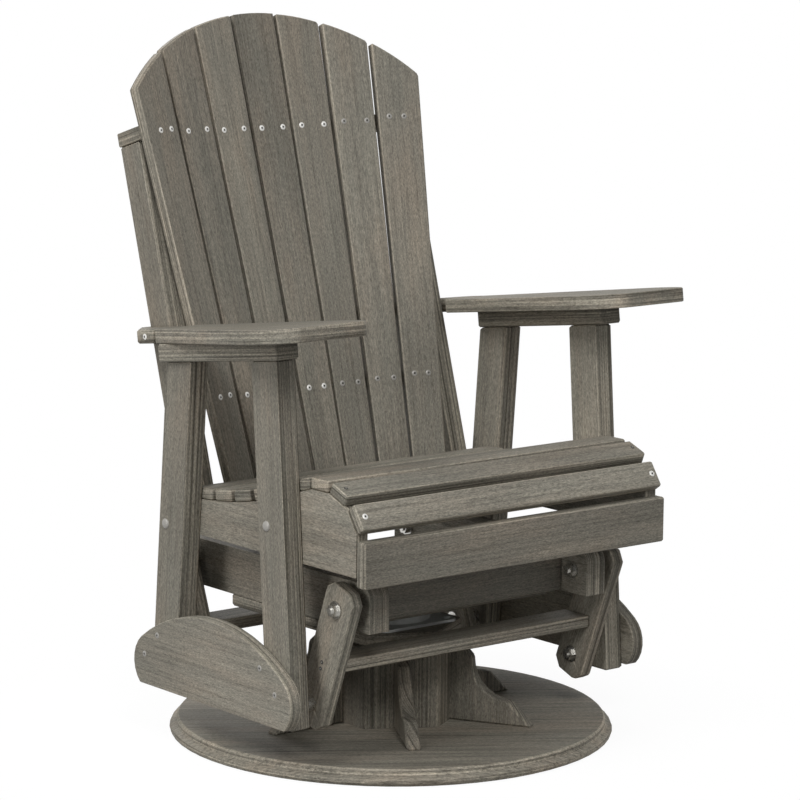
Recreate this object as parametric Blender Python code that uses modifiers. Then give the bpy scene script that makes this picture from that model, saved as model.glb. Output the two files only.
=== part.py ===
"""Outdoor chair that glides on four hanging links and turns on a round base.

Boards of wood-grained plastic lumber, with galvanised and stainless hardware.
Lengths are in metres. The origin is on the floor, on the turning axis.
X runs across the chair, the front faces -Y and Z is up.
"""

from math import asin, atan, atan2, cos, hypot, pi, radians, sin, sqrt, tan

import bmesh
import bpy
from mathutils import Euler, Matrix, Vector

# Stock and fits
BOARD = 0.0222
SLAT = 0.019
POST = 0.035
EASE = 0.003
EASE_SEGMENTS = 1
EASE_ANGLE = radians(30)
SMOOTH_ANGLE = radians(40)
GAP = 0.0003
WELD = 0.00001
OVERRUN = 0.01

# Finishes
LUMBER_COLOUR = (0.20, 0.185, 0.165, 1)
LUMBER_ROUGHNESS = 0.6
ZINC_COLOUR = (0.62, 0.63, 0.64, 1)
ZINC_ROUGHNESS = 0.4
STAINLESS_COLOUR = (0.72, 0.71, 0.69, 1)
STAINLESS_ROUGHNESS = 0.25

# Base disc
DISC_RADIUS = 0.3556
DISC_THICK = 0.0254
DISC_STEP = 0.0116
DISC_BEAD = 0.013
DISC_SIDES = 64
COVE_FACETS = 2
BEAD_FACETS = 4

# Six-sided pillar and its gussets
PILLAR_SIDES = 6
PILLAR_SIDE = 0.1204
PILLAR_HEIGHT = 0.13
CAP_SET_IN = 0.0072
GUSSET_REACH = 0.1377
GUSSET_TOE = 0.039
GUSSET_SHOULDER = 0.0357
GUSSET_COVE = 0.063
GUSSET_CLIP = 0.025
GUSSET_NECK = 0.004
SEAM_WIDTH = 0.0012
SEAM_DEPTH = 0.0018
COVE_STEPS = 7

# Ball-bearing swivel
PLATE_SIDE = 0.1524
PLATE_THICK = 0.0045
PLATE_CORNER = 0.012
RACE_OUTER = 0.062
RACE_INNER = 0.04
RACE_HEIGHT = 0.0115
RACE_SPLIT = 0.0017
RACE_SIDES = 30
GROOVE_CLEARANCE = 0.0006
GROOVE_STEPS = 6
CORNER_STEPS = 3
BALL_RADIUS = 0.005
BALL_COUNT = 10
BALL_RINGS = 6
BALL_SIDES = 8
CAGE_MARGIN = 0.0015
PLATE_BOLT_RADIUS = 0.0055
PLATE_BOLT_HEIGHT = 0.0035
PLATE_BOLT_INSET = 0.014
PLATE_BOLT_SUNK_SHARE = 0.5

# Swivel frame
PLATFORM_HALF_DEPTH = 0.1287
PLATFORM_CLIP = 0.022
RAIL_OUTER = 0.2377
RAIL_PLY = 0.0193
RAIL_DEPTH = 0.0752
RAIL_END = 0.0352
RAIL_NOSE = 0.024
NOSE_STEPS = 6
CROSS_BOARD_SET_IN = 0.059

# Links and their tie boards
LINK_LENGTH = 0.1661
LINK_LEAN = radians(20.6)
LINK_WIDTH = 0.068
LINK_END = 0.037
LINK_CLIP = 0.014
LINK_STANDOFF = 0.0148
UPPER_PIVOT_REACH = 0.2078
UPPER_PIVOT_RISE = 0.037
TIE_THICK = 0.02
TIE_WIDTH = 0.06
TIE_OUTSET = 0.0136
TIE_RISE = 0.0612

# Pivot hardware
BOLT_RADIUS = 0.005
BOLT_HEAD_RADIUS = 0.0095
BOLT_HEAD_HEIGHT = 0.0055
WASHER_RADIUS = 0.014
WASHER_THICK = 0.0018
SPACER_RADIUS = 0.011
NUT_RADIUS = 0.0098
NUT_HEIGHT = 0.0082
NUT_SIDES = 6
BOLT_TAIL = 0.003
HEAD_DOME_SHARES = ((0.55, 0.88), (0.85, 0.6), (1, 0.25))
OPEN_CLEARANCE = 0.0031
COUNTERBORE_RADIUS = 0.0145
COUNTERBORE_DEPTH = 0.0095
BOLT_SIDES = 12

# Legs and foot boards
LEG_CLEARANCE = 0.0263
LEG_WIDTH = 0.062
LEG_DROP = 0.0302
FRONT_LEG_AHEAD = 0.0284326
FRONT_LEG_SPLAY_SHARE = 0.0755
REAR_LEG_AHEAD = 0.0262723
REAR_LEG_SPLAY_SHARE = 0.0803
SKIRT_TOP_RADIUS = 0.319
SKIRT_END_RADIUS = 0.048
SKIRT_REACH = 0.206
SKIRT_TOP = 0.1117
SKIRT_FOOT = 0.0233
SKIRT_TOP_STEPS = 14
SKIRT_END_STEPS = 7

# Seat
SEAT_OVER_RAIL = 0.0276
SEAT_CREST = 0.136
SEAT_FALL = 0.0605
SEAT_RUN = 0.296
SEAT_CONTOUR_SHARES = ((0, 0), (0.06, 0.07), (0.5, 0.7), (0.66, 0.85), (0.83, 0.95), (1, 1))
SEAT_SLAT_COUNT = 7
SEAT_SLAT_WIDTH = 0.0432
SEAT_SLAT_SPACE = 0.006
SEAT_FRONT = 0.2192
NOSE_SLAT_WIDTH = 0.0416
NOSE_SLAT_TILT = radians(21.1)
NOSE_SLAT_FORWARD = 0.0085
NOSE_SLAT_DROP = 0.0006
FRONT_SLAT_WIDTH = 0.0432
FRONT_SLAT_TILT = radians(55.9)
FRONT_SLAT_FORWARD = 0.0148
FRONT_SLAT_DROP = 0.0097
SLAT_END_IN = 0.0012
APRON_DEPTH = 0.0712
APRON_HANG = 0.0146
APRON_FACE = 0.3112
SEAT_TAIL = 0.196
SEAT_TAIL_HEIGHT = 0.056
SEAT_RAIL_FACE = 0.096
SEAT_RAIL_RISE = 0.006

# Fan back, in its own leaning frame
BACK_RISE = 0.1933
BACK_SETBACK = 0.2003
BACK_RECLINE = radians(16.46)
BACK_ROW = 0.4316
BACK_HOLLOW = 0.62
FAN_COUNT = 7
FAN_PITCH_LOW = 0.0676
FAN_PITCH_HIGH = 0.0803
FAN_SPACE = 0.006
FAN_FOOT = 0.15
FAN_TOP_RADIUS = 0.3901
FAN_TOP_CENTRE = 0.2334
FAN_TOP_STEPS = 5
UPRIGHT_DEPTH = 0.054
UPRIGHT_FOOT = 0.1945
CROSS_BOARD_END = 0.28
CROSS_BOARD_BULGE = 0.026
CURVE_STEPS = 16
BULGE_STEPS = 8

# Arms, in their own leaning frame
ARM_RISE = 0.3402
ARM_SETBACK = 0.1484
ARM_TILT = atan(0.133)
ARM_CENTRE = 0.321
ARM_REAR = 0.327
ARM_REAR_INNER = 0.2513
ARM_REAR_OUTER = 0.3358
ARM_WIDEST = 0.018
ARM_FRONT = 0.109
ARM_HALF_WIDE = 0.0909
ARM_HALF_FRONT = 0.0552
ARM_STEPS = 9
SUPPORT_WIDTH = 0.044
SUPPORT_HEIGHT = 0.0285
SUPPORT_LENGTH = 0.3083
SUPPORT_SET_IN = 0.001
YOKE_END = 0.34
YOKE_END_DEPTH = 0.0424
YOKE_DEPTH = 0.114
YOKE_CORNER = 0.285

# Heights and places that follow from the sizes above
PILLAR_FOOT = DISC_THICK + GAP
PILLAR_TOP = PILLAR_FOOT + PILLAR_HEIGHT
CAP_FOOT = PILLAR_TOP + GAP
SWIVEL_FOOT = CAP_FOOT + BOARD + GAP
SWIVEL_TOP = SWIVEL_FOOT + 2 * (PLATE_THICK + RACE_HEIGHT) + RACE_SPLIT
SWIVEL_MIDDLE = (SWIVEL_FOOT + SWIVEL_TOP) / 2
PLATFORM_FOOT = SWIVEL_TOP + GAP
RAIL_FOOT = PLATFORM_FOOT + SLAT + GAP
RAIL_TOP = RAIL_FOOT + RAIL_DEPTH
RAIL_INNER = RAIL_OUTER - 2 * RAIL_PLY
LINK_INNER = RAIL_OUTER + LINK_STANDOFF
PIVOT_BORE = BOLT_RADIUS + GAP
LINK_OUTER = LINK_INNER + BOARD
UPPER_PIVOT_Z = RAIL_FOOT + UPPER_PIVOT_RISE
LOWER_PIVOT_Z = UPPER_PIVOT_Z - LINK_LENGTH * cos(LINK_LEAN)
LOWER_PIVOT_REACH = UPPER_PIVOT_REACH - LINK_LENGTH * sin(LINK_LEAN)
LEG_INNER = LINK_OUTER + LEG_CLEARANCE
LEG_OUTER = LEG_INNER + POST
LEG_FOOT = LOWER_PIVOT_Z - LEG_DROP
SKIRT_INNER = LEG_OUTER + GAP
SIDE_OUTER = LEG_INNER - GAP
SIDE_INNER = SIDE_OUTER - BOARD
SEAT_FOOT = RAIL_TOP + SEAT_OVER_RAIL
SEAT_HALF = SIDE_OUTER - SLAT_END_IN
UPRIGHT_OUTER = SIDE_INNER - GAP
UPRIGHT_INNER = UPRIGHT_OUTER - POST
BACK_Z = SEAT_FOOT + BACK_RISE
ARM_Z = SEAT_FOOT + ARM_RISE

# How a flat outline is turned
FACING_X = (pi / 2, 0, pi / 2)

# Words and signs of the sides and ends
SIDES = (("left", -1), ("right", 1))
ENDS = (("front", -1), ("rear", 1))


def clear_scene():
    """Starts from nothing."""
    for obj in list(bpy.data.objects):
        bpy.data.objects.remove(obj)


def new_collection(name):
    """A collection under the scene's own."""
    group = bpy.data.collections.new(name)
    bpy.context.scene.collection.children.link(group)
    return group


clear_scene()
PARTS = new_collection("swivel_glider")
CUTTERS = new_collection("cutters")


# Tools for shapes


def add_object(name, mesh, group=None):
    """Puts a mesh into the scene."""
    obj = bpy.data.objects.new(name, mesh)
    (group or PARTS).objects.link(obj)
    return obj


def from_bmesh(name, shape, group=None):
    """Turns a finished bmesh into an object."""
    mesh = bpy.data.meshes.new(name)
    shape.to_mesh(mesh)
    shape.free()
    return add_object(name, mesh, group)


def ease_edges(obj, width=EASE, segments=EASE_SEGMENTS):
    """Rounds the sharp edges as a router does."""
    bevel = obj.modifiers.new("eased_edges", "BEVEL")
    bevel.width = width
    bevel.segments = segments
    bevel.limit_method = "ANGLE"
    bevel.angle_limit = EASE_ANGLE


def board(name, size, centre=(0, 0, 0), turn=(0, 0, 0)):
    """A plain board with eased edges."""
    shape = bmesh.new()
    bmesh.ops.create_cube(shape, size=1)
    bmesh.ops.scale(shape, vec=size, verts=shape.verts)
    obj = from_bmesh(name, shape)
    obj.location = centre
    obj.rotation_euler = turn
    ease_edges(obj)
    return obj


def sawn_board(name, outline, thick, centre=(0, 0, 0), turn=(0, 0, 0), eased=True, group=None, hole=None):
    """A board sawn to an outline in local X and Y, centred on its thickness."""
    curve = bpy.data.curves.new(name, "CURVE")
    curve.dimensions = "2D"
    curve.fill_mode = "BOTH"
    curve.extrude = thick / 2
    for loop in [outline] + ([hole] if hole else []):
        spline = curve.splines.new("POLY")
        spline.points.add(len(loop) - 1)
        for point, (x, y) in zip(spline.points, loop):
            point.co = (x, y, 0, 1)
        spline.use_cyclic_u = True
    guide = bpy.data.objects.new(name, curve)
    PARTS.objects.link(guide)
    graph = bpy.context.evaluated_depsgraph_get()
    mesh = bpy.data.meshes.new_from_object(guide.evaluated_get(graph))
    bpy.data.objects.remove(guide)
    shape = bmesh.new()
    shape.from_mesh(mesh)
    bmesh.ops.remove_doubles(shape, verts=shape.verts, dist=WELD)
    bmesh.ops.recalc_face_normals(shape, faces=shape.faces)
    bpy.data.meshes.remove(mesh)
    obj = from_bmesh(name, shape, group)
    obj.location = centre
    obj.rotation_euler = turn
    if eased:
        ease_edges(obj)
    return obj


def turned(name, profile, sides, centre=(0, 0, 0), turn=(0, 0, 0), closed=False):
    """A turned piece: (radius, height) points that run down its outer side."""
    points = [(radius, 0, height) for radius, height in profile]
    edges = [(i, i + 1) for i in range(len(points) - 1)]
    if closed:
        edges.append((len(points) - 1, 0))
    mesh = bpy.data.meshes.new(name)
    mesh.from_pydata(points, edges, [])
    obj = add_object(name, mesh)
    obj.location = centre
    obj.rotation_euler = turn
    screw = obj.modifiers.new("turned", "SCREW")
    screw.steps = sides
    screw.render_steps = sides
    screw.use_merge_vertices = True
    screw.merge_threshold = WELD
    return obj


def prism(name, sides, radius, depth, place, group=None):
    """A round or many-sided rod at a matrix, along that matrix's Z."""
    shape = bmesh.new()
    bmesh.ops.create_cone(
        shape, cap_ends=True, segments=sides, radius1=radius, radius2=radius, depth=depth, matrix=place)
    return from_bmesh(name, shape, group)


def along_x(x, y, z):
    """The matrix of a rod that runs across the chair."""
    return Matrix.Translation((x, y, z)) @ Matrix.Rotation(pi / 2, 4, "Y")


def leaning(angle):
    """The turn of an outline that faces along X and leans about X by an angle."""
    upright = Euler(FACING_X).to_matrix()
    return (Matrix.Rotation(angle, 3, "X") @ upright).to_euler()


def as_cutter(obj):
    """Marks a shape that only cuts."""
    obj.hide_render = True
    obj.display_type = "WIRE"
    return obj


def boolean(obj, other, operation):
    """Adds one exact Boolean to a piece."""
    step = obj.modifiers.new(operation.lower(), "BOOLEAN")
    step.operation = operation
    step.solver = "EXACT"
    step.object = other


def bore(obj, side, inner, outer, y, z, radius):
    """Bores a round hole across the chair, from one distance off the middle to another."""
    depth = outer - inner + 2 * OVERRUN
    place = along_x(side * (inner + outer) / 2, y, z)
    rod = prism(obj.name + "_bore", BOLT_SIDES, radius, depth, place, CUTTERS)
    boolean(obj, as_cutter(rod), "DIFFERENCE")


def finished_mesh(obj):
    """The mesh of a piece with its modifiers applied."""
    bpy.context.view_layer.update()
    graph = bpy.context.evaluated_depsgraph_get()
    return bpy.data.meshes.new_from_object(obj.evaluated_get(graph))


def smooth(obj):
    """Keeps a round piece's finished mesh, shaded smooth between its sharp edges."""
    mesh = finished_mesh(obj)
    obj.modifiers.clear()
    obj.data = mesh
    mesh.shade_smooth()
    mesh.set_sharp_from_angle(angle=SMOOTH_ANGLE)
    return obj


def fuse(obj, others):
    """Joins overlapping shapes into one solid."""
    for other in others:
        boolean(obj, other, "UNION")
    smooth(obj)
    for other in others:
        bpy.data.objects.remove(other)
    return obj


def arc(centre, radius, start, stop, steps):
    """Points on an arc, both ends included."""
    angles = [start + (stop - start) * i / steps for i in range(steps + 1)]
    return [(centre[0] + radius * cos(a), centre[1] + radius * sin(a)) for a in angles]


def between(low, high, steps):
    """Evenly spaced values, both ends included."""
    return [low + (high - low) * i / steps for i in range(steps + 1)]


# Finishes and frames


def finish(obj, colour, roughness, metallic):
    """Gives a piece its own material."""
    material = bpy.data.materials.new(obj.name)
    material.use_nodes = True
    shader = material.node_tree.nodes["Principled BSDF"]
    shader.inputs["Base Color"].default_value = colour
    shader.inputs["Roughness"].default_value = roughness
    shader.inputs["Metallic"].default_value = metallic
    obj.data.materials.clear()
    obj.data.materials.append(material)


def lumber(obj, parent):
    """Wood-grained lumber that rides on a frame."""
    finish(obj, LUMBER_COLOUR, LUMBER_ROUGHNESS, 0)
    return keep_on(obj, parent)


def zinc(obj, parent):
    """Galvanised steel that rides on a frame."""
    finish(obj, ZINC_COLOUR, ZINC_ROUGHNESS, 1)
    return keep_on(obj, parent)


def stainless(obj, parent):
    """Stainless steel that rides on a frame."""
    finish(obj, STAINLESS_COLOUR, STAINLESS_ROUGHNESS, 1)
    return keep_on(obj, parent)


def keep_on(obj, parent):
    """Parents a piece and leaves it where it is."""
    if parent:
        bpy.context.view_layer.update()
        place = obj.matrix_world.copy()
        obj.parent = parent
        obj.matrix_parent_inverse = parent.matrix_world.inverted()
        obj.matrix_world = place
    return obj


def joint(name, place, parent=None, turn=(0, 0, 0)):
    """An empty on a joint's axis, or at a leaning frame's origin."""
    empty = bpy.data.objects.new(name, None)
    PARTS.objects.link(empty)
    empty.location = place
    empty.rotation_euler = turn
    return keep_on(empty, parent)


# Base


def make_base_disc():
    """Round base board with a stepped, beaded edge."""
    bead = DISC_BEAD / 2
    step = DISC_RADIUS - DISC_STEP
    cove = DISC_STEP - bead
    profile = [(0, DISC_THICK), (step - EASE, DISC_THICK), (step, DISC_THICK - EASE)]
    profile += arc((step + cove, DISC_BEAD + cove), cove, pi, 1.5 * pi, COVE_FACETS)
    profile += arc((DISC_RADIUS - bead, bead), bead, pi / 2, -pi / 2, BEAD_FACETS)[1:]
    profile.append((0, 0))
    lumber(smooth(turned("base_disc", profile, DISC_SIDES)), None)


def pillar_outline():
    """Plan of the pillar: a hexagon with a small seam where two boards meet."""
    outline = []
    for k in range(PILLAR_SIDES):
        angle = (k + 1 / 2) * 2 * pi / PILLAR_SIDES
        corner = Vector((PILLAR_SIDE * cos(angle), PILLAR_SIDE * sin(angle)))
        for turn in (-1, 0, 1):
            reach = SEAM_WIDTH if turn else SEAM_DEPTH
            way = angle + (pi if turn == 0 else turn * 2 * pi / 3)
            outline.append(tuple(corner + Vector((reach * cos(way), reach * sin(way)))))
    return outline


def make_pedestal():
    """Six-sided pillar of mitred boards, braced by coved gussets, all fastened together."""
    face = PILLAR_SIDE * cos(pi / PILLAR_SIDES)
    hollow = (face - BOARD) / cos(pi / PILLAR_SIDES)
    first = pi / PILLAR_SIDES
    hole = arc((0, 0), hollow, first, first + 2 * pi, PILLAR_SIDES)[:-1]
    centre = (0, 0, PILLAR_FOOT + PILLAR_HEIGHT / 2)
    pillar = sawn_board("pedestal", pillar_outline(), PILLAR_HEIGHT, centre, eased=False, hole=hole)
    foot = PILLAR_FOOT
    top = PILLAR_TOP
    root = face - BOARD / 2
    shoulder = face + GUSSET_SHOULDER
    cove_centre = (shoulder + GUSSET_COVE, top - GUSSET_CLIP - GUSSET_NECK)
    outline = [(root, foot), (face + GUSSET_REACH, foot)]
    outline += arc(cove_centre, GUSSET_COVE, -pi / 2, -pi, COVE_STEPS)
    outline += [(shoulder, top - GUSSET_CLIP), (shoulder - GUSSET_CLIP, top), (root, top)]
    brackets = []
    for k in range(PILLAR_SIDES):
        turn = (pi / 2, 0, k * 2 * pi / PILLAR_SIDES)
        brackets.append(sawn_board("gusset", outline, BOARD, (0, 0, 0), turn))
    lumber(fuse(pillar, brackets), None)


def make_pedestal_top():
    """Hexagonal board that closes the pillar."""
    corner = PILLAR_SIDE - CAP_SET_IN
    first = pi / PILLAR_SIDES
    outline = arc((0, 0), corner, first, first + 2 * pi, PILLAR_SIDES)[:-1]
    top = sawn_board("pedestal_top", outline, BOARD, (0, 0, CAP_FOOT + BOARD / 2))
    lumber(top, None)


def race_profile():
    """Half of the ball bearing: a ring whose top carries a ball groove."""
    middle = (RACE_OUTER + RACE_INNER) / 2
    groove = BALL_RADIUS + GROOVE_CLEARANCE
    top = -RACE_SPLIT / 2
    bottom = SWIVEL_FOOT + PLATE_THICK / 2 - SWIVEL_MIDDLE
    dip = asin(RACE_SPLIT / (2 * groove))
    profile = [(RACE_OUTER, top), (RACE_OUTER, bottom), (RACE_INNER, bottom), (RACE_INNER, top)]
    return profile + arc((middle, 0), groove, pi + dip, 2 * pi - dip, GROOVE_STEPS)


def make_swivel_plate(name, way, frame):
    """Square plate with its race and four bolt heads, for the lower (1) or the upper (-1) side."""
    half = PLATE_SIDE / 2
    corner = half - PLATE_CORNER
    outline = []
    for k in range(4):
        middle = (corner * sqrt(2) * cos(pi / 4 + k * pi / 2), corner * sqrt(2) * sin(pi / 4 + k * pi / 2))
        outline += arc(middle, PLATE_CORNER, k * pi / 2, (k + 1) * pi / 2, CORNER_STEPS)
    turn = (0 if way > 0 else pi, 0, 0)
    level = SWIVEL_MIDDLE + way * (SWIVEL_FOOT + PLATE_THICK / 2 - SWIVEL_MIDDLE)
    plate = sawn_board(name, outline, PLATE_THICK, (0, 0, level), turn, False)
    race = turned("race", race_profile(), RACE_SIDES, (0, 0, SWIVEL_MIDDLE), turn, True)
    heads = []
    reach = half - PLATE_BOLT_INSET
    rise = SWIVEL_FOOT + PLATE_THICK - SWIVEL_MIDDLE
    rise += PLATE_BOLT_HEIGHT * (1 - PLATE_BOLT_SUNK_SHARE) / 2
    height = PLATE_BOLT_HEIGHT * (1 + PLATE_BOLT_SUNK_SHARE)
    for x in (-reach, reach):
        for y in (-reach, reach):
            place = Matrix.Translation((x, y, SWIVEL_MIDDLE + way * rise))
            heads.append(prism("head", BOLT_SIDES, PLATE_BOLT_RADIUS, height, place))
    zinc(fuse(plate, [race] + heads), frame)


def make_ball_cage():
    """Ring that holds the balls between the two races."""
    middle = (RACE_OUTER + RACE_INNER) / 2
    inner = RACE_INNER + CAGE_MARGIN
    outer = RACE_OUTER - CAGE_MARGIN
    top = RACE_SPLIT / 2 - GAP
    profile = [(outer, top), (outer, -top), (inner, -top), (inner, top)]
    cage = turned("swivel_ball_cage", profile, RACE_SIDES, (0, 0, SWIVEL_MIDDLE), closed=True)
    balls = []
    for k in range(BALL_COUNT):
        angle = 2 * pi * k / BALL_COUNT
        shape = bmesh.new()
        bmesh.ops.create_uvsphere(
            shape, u_segments=BALL_SIDES, v_segments=BALL_RINGS, radius=BALL_RADIUS)
        ball = from_bmesh("ball", shape)
        ball.location = (middle * cos(angle), middle * sin(angle), SWIVEL_MIDDLE)
        balls.append(ball)
    stainless(fuse(cage, balls), None)


# Swivel frame


def make_platform(frame):
    """Board on the swivel that carries both rails."""
    wide = RAIL_OUTER
    deep = PLATFORM_HALF_DEPTH
    corner = [(wide, deep - PLATFORM_CLIP), (wide - PLATFORM_CLIP, deep)]
    outline = corner + [(-x, y) for x, y in reversed(corner)]
    outline += [(-x, -y) for x, y in outline]
    lumber(sawn_board("platform_board", outline, SLAT, (0, 0, PLATFORM_FOOT + SLAT / 2)), frame)


def rail_outline():
    """Side view of a rail: both upper corners are rounded."""
    end = UPPER_PIVOT_REACH + RAIL_END
    front = arc((-end + RAIL_NOSE, RAIL_TOP - RAIL_NOSE), RAIL_NOSE, pi, pi / 2, NOSE_STEPS)
    rear = [(-y, z) for y, z in reversed(front)]
    return [(-end, RAIL_FOOT)] + front + rear + [(end, RAIL_FOOT)]


def make_rail(name, side, frame):
    """Rail laminated from two boards, with the upper pivot holes."""
    x = side * (RAIL_INNER + RAIL_OUTER) / 2
    rail = sawn_board(name, rail_outline(), RAIL_OUTER - RAIL_INNER, (x, 0, 0), FACING_X)
    for end in (-1, 1):
        bore(rail, side, RAIL_INNER, RAIL_OUTER, end * UPPER_PIVOT_REACH, UPPER_PIVOT_Z, PIVOT_BORE)
    lumber(rail, frame)


def make_front_cross_board(frame):
    """Board between the rails, across the front of the frame."""
    size = (2 * (RAIL_INNER - GAP), BOARD, RAIL_DEPTH)
    face = UPPER_PIVOT_REACH + RAIL_END - CROSS_BOARD_SET_IN
    centre = (0, -face + BOARD / 2, (RAIL_FOOT + RAIL_TOP) / 2)
    lumber(board("front_cross_board", size, centre), frame)


def domed_head(seat):
    """Profile of a domed bolt head on its washer, from its top to the face that it sits on."""
    rim = seat + WASHER_THICK
    profile = [(0, rim + BOLT_HEAD_HEIGHT)]
    for radius_share, height_share in HEAD_DOME_SHARES:
        profile.append((BOLT_HEAD_RADIUS * radius_share, rim + BOLT_HEAD_HEIGHT * height_share))
    return profile + [(BOLT_HEAD_RADIUS, rim), (WASHER_RADIUS, rim), (WASHER_RADIUS, seat)]


def nutted_end(seat):
    """Profile of a bolt's outer end with its washer, from its tip to the face that it sits on."""
    rim = seat + WASHER_THICK
    tip = rim + NUT_HEIGHT + BOLT_TAIL
    return [(0, tip), (BOLT_RADIUS, tip), (BOLT_RADIUS, rim), (WASHER_RADIUS, rim), (WASHER_RADIUS, seat)]


def pivot_nut(side, y, z, washer, way):
    """Nut that bites into the outer face of a washer, towards the outside (1) or the middle (-1)."""
    height = NUT_HEIGHT + WASHER_THICK / 2
    centre = washer + way * (NUT_HEIGHT - WASHER_THICK / 2) / 2
    return prism("nut", NUT_SIDES, NUT_RADIUS, height, along_x(side * centre, y, z))


def pivot_bolt(name, side, y, z, faces, frame, domed=True):
    """Bolt across a pivot with washers, spacer and nut; faces runs from its head's seat to its nut's."""
    head_seat, spacer_out, spacer_in, nut_seat = faces
    back = nut_seat - WASHER_THICK
    tail = back - NUT_HEIGHT - BOLT_TAIL
    nuts = [pivot_nut(side, y, z, back, -1)]
    if domed:
        profile = domed_head(head_seat)
    else:
        profile = nutted_end(head_seat)
        nuts.append(pivot_nut(side, y, z, head_seat + WASHER_THICK, 1))
    profile += [(BOLT_RADIUS, head_seat), (BOLT_RADIUS, spacer_out), (SPACER_RADIUS, spacer_out)]
    profile += [(SPACER_RADIUS, spacer_in), (BOLT_RADIUS, spacer_in), (BOLT_RADIUS, nut_seat)]
    profile += [(WASHER_RADIUS, nut_seat), (WASHER_RADIUS, back), (BOLT_RADIUS, back)]
    profile += [(BOLT_RADIUS, tail), (0, tail)]
    bolt = turned(name, profile, BOLT_SIDES, (0, y, z), (0, side * pi / 2, 0))
    stainless(fuse(bolt, nuts), frame)


def make_upper_bolts(frame):
    """Bolts that carry the links on the rails."""
    faces = (LINK_OUTER + GAP, LINK_INNER - GAP, RAIL_OUTER + GAP, RAIL_INNER - GAP)
    for side_word, side in SIDES:
        for end_word, end in ENDS:
            name = "%s_%s_upper_bolt" % (side_word, end_word)
            pivot_bolt(name, side, end * UPPER_PIVOT_REACH, UPPER_PIVOT_Z, faces, frame, domed=False)


# Links


def make_link(name, side, end, frame):
    """Hanging link with clipped corners; a rear link's lower hole is wide, to let the pair swing."""
    half = LINK_WIDTH / 2
    reach = LINK_LENGTH / 2 + LINK_END
    corner = [(half, reach - LINK_CLIP), (half - LINK_CLIP, reach)]
    outline = corner + [(-x, y) for x, y in reversed(corner)]
    outline += [(-x, -y) for x, y in outline]
    y = end * (UPPER_PIVOT_REACH + LOWER_PIVOT_REACH) / 2
    z = (UPPER_PIVOT_Z + LOWER_PIVOT_Z) / 2
    centre = (side * (LINK_INNER + BOARD / 2), y, z)
    link = sawn_board(name, outline, BOARD, centre, leaning(-end * LINK_LEAN))
    bore(link, side, LINK_INNER, LINK_OUTER, end * UPPER_PIVOT_REACH, UPPER_PIVOT_Z, PIVOT_BORE)
    lower_bore = BOLT_RADIUS + OPEN_CLEARANCE if end > 0 else PIVOT_BORE
    bore(link, side, LINK_INNER, LINK_OUTER, end * LOWER_PIVOT_REACH, LOWER_PIVOT_Z, lower_bore)
    lumber(link, frame)


def make_tie_board(name, end, frame):
    """Board that ties a pair of links together."""
    size = (2 * (LINK_INNER - GAP), TIE_WIDTH, TIE_THICK)
    centre = (0, end * (LOWER_PIVOT_REACH + TIE_OUTSET), LOWER_PIVOT_Z + TIE_RISE)
    lumber(board(name, size, centre), frame)


# Chair: legs, foot boards and their bolts


def support_underside(y):
    """Height of the arm support's underside at a place along Y."""
    drop = (SUPPORT_HEIGHT + GAP) / cos(ARM_TILT)
    return ARM_Z - tan(ARM_TILT) * (y + ARM_SETBACK) - drop - GAP


def leg_edge(edge, splay):
    """Lower and upper end of one leg edge, as (y, z)."""
    level = support_underside(0)
    slope = tan(ARM_TILT)
    top = (edge + splay * (ARM_Z - level)) / (1 - splay * slope)
    return (edge + splay * (ARM_Z - LEG_FOOT), LEG_FOOT), (top, level - slope * top)


def make_leg(name, side, end, chair):
    """Splayed leg post, bored for the lower pivot and sunk for its bolt's head."""
    front = end < 0
    splay = -FRONT_LEG_SPLAY_SHARE if front else REAR_LEG_SPLAY_SHARE
    ahead = FRONT_LEG_AHEAD if front else REAR_LEG_AHEAD
    pivot_y = end * LOWER_PIVOT_REACH
    edge = pivot_y - ahead - splay * (ARM_Z - LOWER_PIVOT_Z)
    fore = leg_edge(edge, splay)
    aft = leg_edge(edge + LEG_WIDTH, splay)
    outline = [fore[0], fore[1], aft[1], aft[0]]
    centre = (side * (LEG_INNER + POST / 2), 0, 0)
    leg = sawn_board(name, outline, POST, centre, FACING_X)
    bore(leg, side, LEG_INNER, LEG_OUTER, pivot_y, LOWER_PIVOT_Z, PIVOT_BORE)
    sunk_face = LEG_OUTER - COUNTERBORE_DEPTH + OVERRUN
    bore(leg, side, sunk_face, LEG_OUTER, pivot_y, LOWER_PIVOT_Z, COUNTERBORE_RADIUS)
    lumber(leg, chair)


def skirt_outline():
    """Half-round foot board: a flat top arc that rolls into two small end arcs."""
    top = LOWER_PIVOT_Z + SKIRT_TOP
    foot = LOWER_PIVOT_Z - SKIRT_FOOT
    top_centre = top - SKIRT_TOP_RADIUS
    end_y = SKIRT_REACH - SKIRT_END_RADIUS
    end_z = top_centre + sqrt((SKIRT_TOP_RADIUS - SKIRT_END_RADIUS) ** 2 - end_y ** 2)
    roll = atan2(end_z - top_centre, end_y)
    start = asin((foot - end_z) / SKIRT_END_RADIUS)
    rear = arc((end_y, end_z), SKIRT_END_RADIUS, start, roll, SKIRT_END_STEPS)
    crown = arc((0, top_centre), SKIRT_TOP_RADIUS, roll, pi - roll, SKIRT_TOP_STEPS)[1:-1]
    front = [(-y, z) for y, z in reversed(rear)]
    return rear + crown + front


def make_skirt(name, side, chair):
    """Foot board outside a pair of legs."""
    centre = (side * (SKIRT_INNER + BOARD / 2), 0, 0)
    lumber(sawn_board(name, skirt_outline(), BOARD, centre, FACING_X), chair)


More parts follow.
